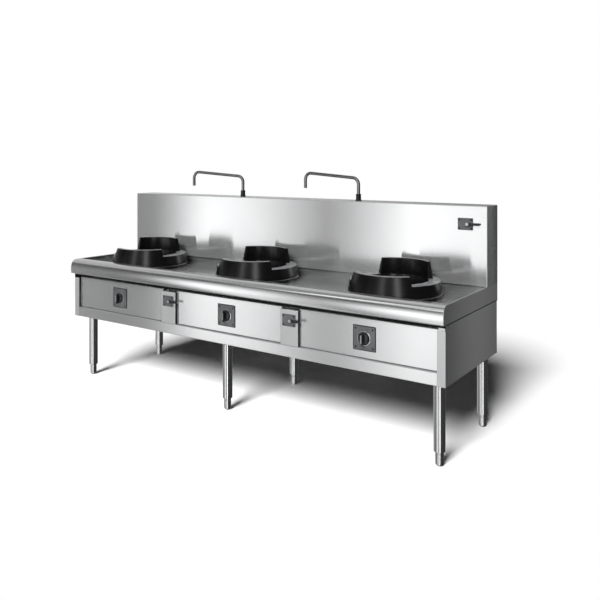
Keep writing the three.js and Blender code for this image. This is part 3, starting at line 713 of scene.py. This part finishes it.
class BuildLegs(bpy.types.Operator):
    """Six tube legs and their screw feet"""

    bl_idname = "wokrange.legs"
    bl_label = "Legs and feet"

    def execute(self, context):
        for row in ROWS:
            for side in SIDES:
                name = f"leg_{row}_{side}"
                low, high = cad(name)
                centre = (low + high) / 2 * [1, 1, 0]
                post, collar = corner_post(low[2], high[2])
                make(f"{name}_tube", moved(post, centre), BODY, FINISHES["tube"], [name])
                # The dark grey collar on top of each leg is painted shade under the body's edge.
                make(f"{name}_socket", moved(collar, centre), BODY, FINISHES["plate"])
                name = f"foot_{row}_{side}"
                low, high = cad(name)
                stand = moved(bullet_foot(low[2], high[2]), centre)
                make(f"{name}_bullet", stand, name, FINISHES["tube"], [name])
        return {"FINISHED"}


# ------------------------------------------------------------------ body panels

STILE_TOP = 596.8
SLOT_BOTTOM = 597.0  # above the stile, the side sheet itself comes forward to the front face
SLOT_TOP = 624.6
NOTCH_BOTTOM = 602.8  # the rail's black strip of painted shade hangs down into a notch in the sheet


class BuildPanels(bpy.types.Operator):
    """Side sheets, uprights, bottom rail and front panels below the deck"""

    bl_idname = "wokrange.panels"
    bl_label = "Body panels"

    def execute(self, context):
        settings = context.scene.wok_sheet
        sheet, radius = settings.thickness / MM, settings.fold_radius / MM
        for side, sign in (("left", -1), ("right", 1)):
            node = f"{side}_side_panel"
            low, high = cad(node)
            outer, stile = (high[0], low[0]) if sign > 0 else (low[0], high[0])
            path = np.array([[stile, 0], [outer, 0], [outer, 4]])
            section = folded(path if sign > 0 else path[::-1], sheet, radius)
            strip = pushed(section, "z", [low[2], STILE_TOP])
            outline = [[4, low[2]], [4, SLOT_BOTTOM], [0.3, SLOT_BOTTOM], [0.3, SLOT_TOP], [29.5, SLOT_TOP]]
            outline += [[29.5, NOTCH_BOTTOM], [32.5, NOTCH_BOTTOM], [32.5, SLOT_TOP], [39.9, SLOT_TOP]]
            outline += [[39.9, high[2]], [high[1], high[2]], [high[1], low[2]]]
            flank = pushed(outline, "x", sorted([outer, outer - sign * sheet]))
            make(f"{side}_side_sheet", flank, BODY, FINISHES["side"], [node])
            make(f"{side}_stile", strip, BODY, FINISHES["post"])
        low, high = cad("bottom_rail")
        path = [[15, high[2]], [0, high[2]], [0, low[2]], [high[1], low[2]]]
        rail = pushed(folded(path, sheet, radius), "x", [low[0], high[0]])
        make("bottom_rail_channel", rail, BODY, FINISHES["panel"], ["bottom_rail"], 0.4)
        for i in (1, 2):
            node = f"pilaster_{i}"
            low, high = cad(node)
            path = [[low[0], high[1]], [low[0], 0], [high[0], 0], [high[0], high[1]]]
            upright = pushed(folded(path, sheet, radius), "z", [low[2], high[2]])
            make(f"{node}_channel", upright, BODY, FINISHES["post"], [node], 0.4)
            # On each upright's inner edge a matt black strip: painted shade in the reveal beside the next
            # panel.
            near, far = high[0] + 0.1, high[0] + 1.1
            reveal = [[near, 2.5], [far, 2.5], [far, 14.2], [near, 14.2]]
            seal = pushed(reveal, "z", [low[2] + 1, high[2] - 1])
            make(f"{node}_seal", seal, BODY, FINISHES["seal"], bevel=0.2)
        for i in (1, 2, 3):
            low, high = cad(f"front_panel_{i}")
            path = [[high[1], high[2]], [low[1], high[2]], [low[1], low[2]], [high[1], low[2]]]
            face = pushed(folded(path, sheet, radius), "x", [low[0], high[0]])
            node = f"front_panel_{i}"
            make(f"{node}_sheet", face, BODY, FINISHES["panel"], [node], 0.4)
        return {"FINISHED"}


# ------------------------------------------------------------------ rail, rims and splashback

RAIL_BOTTOM = 625.0
RIM_TOP = 707.0
DECK_TOP = 668.3
NOSE = 28.0  # how far the rail stands in front of the body
SHADE_STRIP_TOP = 622.9


def nose_curve(steps=10):
    """Outline of the rail's front: a round corner above, a shallow bow, and a small lip below.

    The three arcs are tangent. The corner meets the bow 12 degrees above the bow's level point.
    """
    corner, bow, lip, meet = 38.0, 130.0, 6.0, 12
    up = np.radians(meet)
    middle_y = bow - NOSE
    middle_z = RIM_TOP - corner - (bow - corner) * np.sin(up)
    drop = middle_z - RAIL_BOTTOM - lip
    down = np.arcsin(drop / (bow - lip))
    top = (middle_y - (bow - corner) * np.cos(up), RIM_TOP - corner)
    foot = (middle_y - (bow - lip) * np.cos(down), RAIL_BOTTOM + lip)
    return np.concatenate(
        [
            arc(top, corner, 90, 180 - meet, steps),
            arc((middle_y, middle_z), bow, 180 - meet, 180 + np.degrees(down), steps)[1:],
            arc(foot, lip, 180 + np.degrees(down), 270, 6)[1:],
        ]
    )


def column_cover(edge=4.0, steps=5):
    """Splashback as one drawn cover: a U in plan, carried up and rolled over into the flat top.

    Each row is the U drawn in by edge (1 - cos a) at height top - edge (1 - sin a) while the edge
    turns, so the front and the ends meet the top in one soft edge.
    """
    low, high = cad("splashback")
    swing = np.radians(np.linspace(0, 90, steps + 1))
    levels = [(low[2], 0.0)] + [(high[2] - edge * (1 - np.sin(a)), edge * (1 - np.cos(a))) for a in swing]
    rows = []
    for height, inset in levels:
        left, right, front = low[0] + inset, high[0] - inset, low[1] + inset
        plan = [[left, high[1]], [left, front], [right, front], [right, high[1]]]
        outline = fillet(plan, max(edge - inset, 0.05), steps)
        rows.append(np.concatenate([outline, np.full((len(outline), 1), height)], axis=1))
    points, faces = grid(np.array(rows), around=False, capped=False)
    size = len(rows[0])
    faces.append(list(range(len(points) - size, len(points))))
    return points, faces


class BuildTop(bpy.types.Operator):
    """Front rail, side rims and splashback"""

    bl_idname = "wokrange.top"
    bl_label = "Rail, rims and splashback"

    def execute(self, context):
        settings = context.scene.wok_sheet
        sheet, radius = settings.thickness / MM, settings.fold_radius / MM
        low, high = cad("front_rail")
        inner_leg, hook = [[42, low[2] + 65.3], [42, RIM_TOP]], [[30, RAIL_BOTTOM], [30, 623]]
        path = np.concatenate([inner_leg, nose_curve(), hook])
        rail = pushed(folded(path, sheet, radius), "x", np.linspace(low[0], high[0], 9))
        make("front_rail_nose", rail, BODY, FINISHES["rail"], ["front_rail"], 0.3)
        # The rail's steel apron behind the slot, drawn as a matt black strip: painted shade in the slot under
        # the rail.
        strip = [[29.8, low[2]], [32, low[2]], [32, SHADE_STRIP_TOP], [29.8, SHADE_STRIP_TOP]]
        seal = pushed(strip, "x", [low[0], high[0]])
        make("front_rail_seal", seal, BODY, FINISHES["seal"], bevel=0.3)
        for side, sign in (("left", -1), ("right", 1)):
            node = f"{side}_rim"
            low, high = cad(node)
            outer, inner = (high[0], low[0]) if sign > 0 else (low[0], high[0])
            outline = np.concatenate([[[high[1], RAIL_BOTTOM], [high[1], RIM_TOP]], nose_curve()])
            plate = pushed(outline, "x", sorted([outer, outer - sign * sheet]))
            path = [[inner, DECK_TOP], [inner, RIM_TOP], [outer - sign * sheet / 2, RIM_TOP]]
            section = folded(path[::-1] if sign > 0 else path, sheet, 2.0)[:, [1, 0]]
            lip = pushed(section, "y", [42.3, 499.7])
            make(f"{side}_rim_plate", plate, BODY, FINISHES["rail"], [node], 0.6)
            make(f"{side}_rim_lip", lip, BODY, FINISHES["rail"])
            # Under each rim a matt black strip: a painted shadow line between the rim and the side sheet.
            under, face = RAIL_BOTTOM - 0.1, outer - sign * 2.1
            shade_line = [[2, under], [2, under - 4], [high[1], under - 4], [high[1], under]]
            shade_line = pushed(shade_line, "x", sorted([face, face + sign * 1.8]))
            make(f"{side}_rim_seal", shade_line, BODY, FINISHES["seal"], bevel=0.2)
        cover, finish = column_cover(), FINISHES["column"]
        make("splashback_cover", cover, BODY, finish, ["splashback"], wall=sheet)
        return {"FINISHED"}


# ------------------------------------------------------------------ burners and wok rings

RING_CENTRE_Y = 271.0
RING_TURN = (20.0, 11.5, 0.0)  # degrees


def ring_wall(section, middle, foot_span, top_span, heights, steps=48):
    """A wall on the ring: angle = middle + s times the half span at that height, s from -1 to 1.

    The half span runs straight from foot_span to top_span between the two heights, so the ends lean in.
    """
    share = (section[:, 1] - heights[0]) / (heights[1] - heights[0])
    span = foot_span + (top_span - foot_span) * share
    s = np.linspace(-1, 1, steps + 1)[:, None]
    angle = np.radians(middle + s * span[None, :])
    radius, height = section[None, :, 0], section[None, :, 1] + 0 * angle
    return grid(np.stack([radius * np.cos(angle), radius * np.sin(angle), height], axis=-1))


class BuildBurners(bpy.types.Operator):
    """Wok rings, combustion chambers and burner heads"""

    bl_idname = "wokrange.burners"
    bl_label = "Burners and wok rings"

    def execute(self, context):
        settings = context.scene.wok_burners
        segments, edge = settings.segments, settings.edge_radius / MM
        tier, front_top, shield_top = 744.0, 785.0, 824.0
        base = [(214, 688.3), (225, 688.3), (224, 700), (215, tier), (158, tier), (150, 700), (150, 680)]
        base += [(157.5, 680), (157.5, 700), (166, 732), (204, 732)]
        base = fillet(base, [1, 1.2, 3, edge, edge, 3, 1, 1, 2, 3, 3], 4, closed=True)
        wall = [(214, 702), (223.9, 702), (215.3, tier), (201, front_top), (176, front_top), (187, 741)]
        wall = fillet(wall + [(205, 739)], [0.1, 0.1, 0.1, edge, edge, 0.1, 0.1], 4, closed=True)
        shield = [(158, 740), (184, 740), (173, shield_top), (158, shield_top)]
        shield = fillet(shield, [0.1, 0.1, edge, edge], 4, closed=True)
        chamber = [(166, DECK_TOP), (226, DECK_TOP), (226, 684), (222, 688), (160, 688), (160, 640)]
        chamber += [(108, 476), (60, 476), (60, 470), (114, 470), (166, 640)]
        chamber = fillet(chamber, [1, 0.8, 1, 1, 1, 20, 5, 1, 1, 8, 20], 4, closed=True)
        burner = [(0, 452), (47, 452), (50, 456), (50, 476.3), (74, 476.3), (74, 485.3), (60, 496.3)]
        burner = fillet(burner + [(26, 504.3), (0, 506.3)], 3.0, 4)
        for i in (1, 2, 3):
            node = f"wok_ring_{i}"
            low, high = cad(node)
            centre = [(low[0] + high[0]) / 2, RING_CENTRE_Y, 0]
            parts = (
                lathe(base, segments, closed=True),
                ring_wall(wall, -90, 47, 45.7, (tier, front_top)),
                ring_wall(shield, 90, 53, 49, (tier, shield_top)),
            )
            casting = moved(spun(combine(*parts), RING_TURN[i - 1]), centre)
            make(f"{node}_casting", casting, node, FINISHES["casting"], [node])
            cup = moved(lathe(chamber, segments, closed=True), centre)
            make(f"chamber_{i}_cup", cup, BODY, FINISHES["casting"], [f"chamber_{i}"])
            head = moved(lathe(burner, 64), centre)
            make(f"burner_{i}_head", head, BODY, FINISHES["burner"], [f"burner_head_{i}"])
        return {"FINISHED"}


# ------------------------------------------------------------------ knobs and levers

KNOB_HEIGHT = 512.0
LEVER_REACH = 62.0
SCREW_RADIUS = 5.0
SCREW_HEIGHT = 1.6


def screw_head(radius, height):
    """Pan-head screw, turned to face the cook: a flat rim and a low dome."""
    profile = [(0, -0.2), (radius, -0.2), (radius, height * 0.4), (radius * 0.7, height * 0.85), (0, height)]
    return lathe(fillet(profile, 0.4, 3), 20, axis="y")


def corner_screws(width, height, face):
    """A screw in each corner of a plate."""
    places = [(a * width / 2, face, b * height / 2) for a in (-1, 1) for b in (-1, 1)]
    return combine(*[moved(screw_head(SCREW_RADIUS, SCREW_HEIGHT), place) for place in places])


class BuildControls(bpy.types.Operator):
    """Gas knobs, water levers and their plates"""

    bl_idname = "wokrange.controls"
    bl_label = "Knobs and levers"

    def execute(self, context):
        radius = context.scene.wok_controls.knob_diameter / MM / 2
        for i in (1, 2, 3):
            low, high = cad(f"gas_knob_{i}")
            centre = [(low[0] + high[0]) / 2, 0, KNOB_HEIGHT]
            # Behind each plate's face, a black border that shows 3 to 4 mm round it.
            black_border = moved(pad(116, 112, 4, eased(12.7, 14.7, 0.6)), centre)
            plate = moved(pad(109, 105, 3, eased(11.7, 12.7, 0.6)), centre)
            bezel = [(29, -11.7), (34, -11.7), (34, -8.8), (32.5, -7.7), (30.5, -7.7), (29, -9)]
            bezel = moved(lathe(fillet(bezel, 0.6, 3, True), 64, closed=True, axis="y"), centre)
            screws = moved(corner_screws(88, 84, 11.7), centre)
            make(f"knob_plate_{i}_face", plate, BODY, FINISHES["plate"], [f"knob_plate_{i}"])
            make(f"knob_plate_{i}_gasket", black_border, BODY, FINISHES["seal"])
            make(f"knob_plate_{i}_bezel", bezel, BODY, FINISHES["bright"])
            make(f"knob_plate_{i}_screws", screws, BODY, FINISHES["nut"])
            disc = [(0, -19.7), (4, -19.7), (4, -11.4), (radius, -11.4), (radius, -2), (radius - 4, 1.2)]
            disc = lathe(fillet(disc + [(0, 3.4)], 1.2, 4), 64, axis="y")
            grip = pad(13, 48, 5.5, eased(low[1] + 0.8, 4, 3.0))
            mark = moved(pad(4, 12, 1.8, eased(low[1] + 3, 4, 1.0)), [0, 0, -24])
            knob = moved(combine(disc, grip, mark), centre)
            inlay = moved(pad(6.5, 38, 2.5, eased(low[1], low[1] + 1.2, 0.4)), centre)
            name = f"gas_knob_{i}"
            make(f"{name}_grip", knob, name, FINISHES["knob"], [name])
            make(f"{name}_inlay", inlay, name, FINISHES["inlay"])
            low, high = cad(f"valve_plate_{i}")
            middle = [(low[0] + high[0]) / 2, 0, (low[2] + high[2]) / 2]
            plate = moved(pad(76, 58, 3, eased(low[1], high[1], 0.8)), middle)
            screws = moved(corner_screws(60, 42, low[1]), middle)
            make(f"valve_plate_{i}_face", plate, BODY, FINISHES["plate"], [f"valve_plate_{i}"])
            make(f"valve_plate_{i}_screws", screws, BODY, FINISHES["nut"])
            low, high = cad(f"valve_lever_{i}")
            turn = np.array([high[0] - LEVER_REACH, high[1] - 12.7, (low[2] + high[2]) / 2])
            hub = [(0, -12.7), (4, -12.7), (4, 3.6), (9, 3.6), (9, 13.5), (7.5, 16), (0, 16)]
            hub = moved(lathe(fillet(hub, 1.0, 4), 40, axis="y"), turn)
            arm = pad(LEVER_REACH, 11, 5.4, eased(-13, -8, 1.6))
            arm = moved(arm, turn + [LEVER_REACH / 2, 0, 0])
            name = f"valve_lever_{i}"
            make(f"{name}_arm", arm, name, FINISHES["lever"], [name])
            make(f"{name}_hub", hub, name, FINISHES["bright"])
        return {"FINISHED"}


# ------------------------------------------------------------------ spouts and pipes

SPOUT_Y = 572.5
SPOUT_SEAT = 1090.3  # underside of the nut's flange, on the column
SPOUT_BEND = 38.0
SPOUT_REACH = 372.0
SPOUT_TURN = (5.3, -5.3)  # degrees


class BuildSpouts(bpy.types.Operator):
    """Swivel spouts and their nuts"""

    bl_idname = "wokrange.spouts"
    bl_label = "Spouts"

    def execute(self, context):
        radius = context.scene.wok_controls.spout_diameter / MM / 2
        for i in (1, 2):
            low, high = cad(f"spout_base_{i}")
            place = [(low[0] + high[0]) / 2, SPOUT_Y, 0]
            seat, top = SPOUT_SEAT, high[2]
            nut = [(0, low[2]), (9, low[2]), (9, seat), (17, seat), (17, seat + 4.5), (14, seat + 6)]
            nut += [(14, seat + 22), (12.5, seat + 24), (14, seat + 26), (14, top), (9.7, top)]
            nut += [(9.7, seat + 8), (0, seat + 8)]
            gland = moved(lathe(fillet(nut, 1.0, 4), 48), place)
            make(f"spout_base_{i}_nut", gland, BODY, FINISHES["nut"], [f"spout_base_{i}"])
            corners = [[0, 0, 1099], [0, 0, 1211], [-SPOUT_REACH, 0, 1238], [-SPOUT_REACH, 0, 1149]]
            bends = [0, SPOUT_BEND, SPOUT_BEND, 0]
            arm = moved(spun(tube(corners, radius, bends, 28, 12), SPOUT_TURN[i - 1]), place)
            make(f"spout_{i}_tube", arm, f"spout_{i}", FINISHES["spout"], [f"spout_{i}"])
        return {"FINISHED"}


PLAIN_NODES = {
    "base_frame": "frame",
    "back_panel": "panel",
    "deck_tray": "deck",
    "gas_manifold": "gas",
    "gas_valve_1": "brass",
    "gas_valve_2": "brass",
    "gas_valve_3": "brass",
    "water_manifold": "water",
    "water_valve_1": "gas",
    "water_valve_2": "gas",
    "water_valve_3": "gas",
}

OPERATORS = (BuildStudio, BuildLegs, BuildPanels, BuildTop, BuildBurners, BuildControls, BuildSpouts)
SETTINGS = {
    "wok_studio": StudioSettings,
    "wok_sheet": SheetSettings,
    "wok_burners": BurnerSettings,
    "wok_controls": ControlSettings,
}


class WokRangePanel(bpy.types.Panel):
    """Lists the groups of pieces in the sidebar"""

    bl_idname = "VIEW3D_PT_wok_range"
    bl_label = "Wok range"
    bl_space_type = "VIEW_3D"
    bl_region_type = "UI"
    bl_category = "Wok range"

    def draw(self, context):
        for name, settings in SETTINGS.items():
            column = self.layout.column(align=True)
            for key in settings.__annotations__:
                column.prop(getattr(context.scene, name), key)
        for operator in OPERATORS:
            self.layout.operator(operator.bl_idname)


def register():
    """Adds the settings, the operators and the panel."""
    for settings in SETTINGS.values():
        bpy.utils.register_class(settings)
    for name, settings in SETTINGS.items():
        setattr(bpy.types.Scene, name, bpy.props.PointerProperty(type=settings))
    for found in (*OPERATORS, WokRangePanel):
        bpy.utils.register_class(found)


def unregister():
    """Takes away what register adds."""
    for found in (WokRangePanel, *reversed(OPERATORS)):
        bpy.utils.unregister_class(found)
    for name, settings in SETTINGS.items():
        delattr(bpy.types.Scene, name)
        bpy.utils.unregister_class(settings)


def main():
    register()
    mix_finishes(bpy.context.scene.wok_sheet.colour)
    for operator in OPERATORS:
        group, name = operator.bl_idname.split(".")
        getattr(getattr(bpy.ops, group), name)()
    for name, finish in PLAIN_NODES.items():
        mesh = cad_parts[name].data
        mesh.materials.clear()
        mesh.materials.append(FINISHES[finish])


if __name__ == "__main__":
    main()
